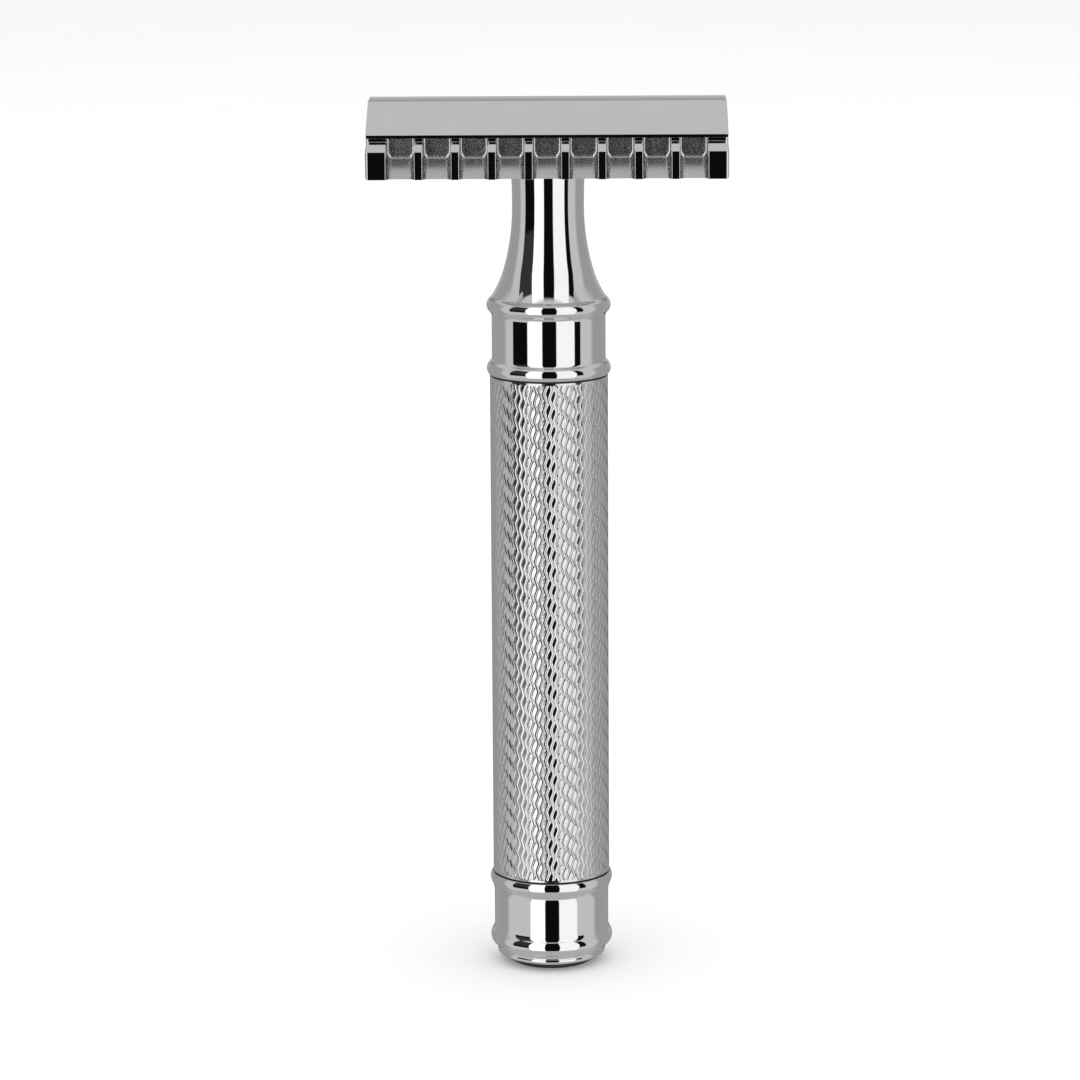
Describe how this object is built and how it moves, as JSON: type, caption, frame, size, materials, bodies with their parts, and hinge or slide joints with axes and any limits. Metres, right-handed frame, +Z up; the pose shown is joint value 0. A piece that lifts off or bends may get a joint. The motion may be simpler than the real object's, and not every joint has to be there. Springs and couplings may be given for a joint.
{
  "type": "safety razor",
  "caption": "Double-edge safety razor with an open-comb head, screw-down cap, flared neck and engraved tubular handle ending in a beaded knob.",
  "frame": {"origin": "centre of the flat bottom face of the handle's end button", "axes": "+Z up the handle to the cap, X along the length of the head, Y across the head from comb to comb"},
  "size_m": [0.041, 0.024, 0.1028],
  "materials": {
    "chrome": "bright polished chrome plate",
    "grip_chrome": "bright chrome plate over wavy engraved grooves",
    "comb_chrome": "bright chrome plate, satin inside the comb gaps",
    "stud_chrome": "thin chrome plate on screw thread and pins",
    "plain_steel": "plain turned steel",
    "brass_bush": "machined brass",
    "seal_rubber": "thin black rubber"
  },
  "bodies": {
    "handle": {"end_button": "chrome", "end_knob": "chrome", "flat_washer": "plain_steel", "spring_washer": "plain_steel", "tie_screw": "plain_steel", "lower_seal_ring": "seal_rubber", "grip_sleeve": "grip_chrome", "upper_seal_ring": "seal_rubber", "neck": "chrome", "neck_insert": "brass_bush"},
    "comb": {"comb_plate": "comb_chrome"},
    "cap": {"top_cap": "chrome", "clamp_stud": "stud_chrome", "guide_pin_left": "stud_chrome", "guide_pin_right": "stud_chrome"}
  },
  "joints": [
    {"name": "head_turn", "type": "hinge", "parent": "handle", "child": "comb", "pos_m": [0, 0, 0.09522], "axis": [0, 0, 1], "range_deg": [0, 2970]},
    {"name": "cap_lift", "type": "slide", "parent": "comb", "child": "cap", "axis": [0, 0, 1], "range_m": [0, 0.0066]}
  ],
  "couplings": [
    {"joint": "cap_lift", "follows": "head_turn", "m_per_rad": 0.00012732}
  ]
}
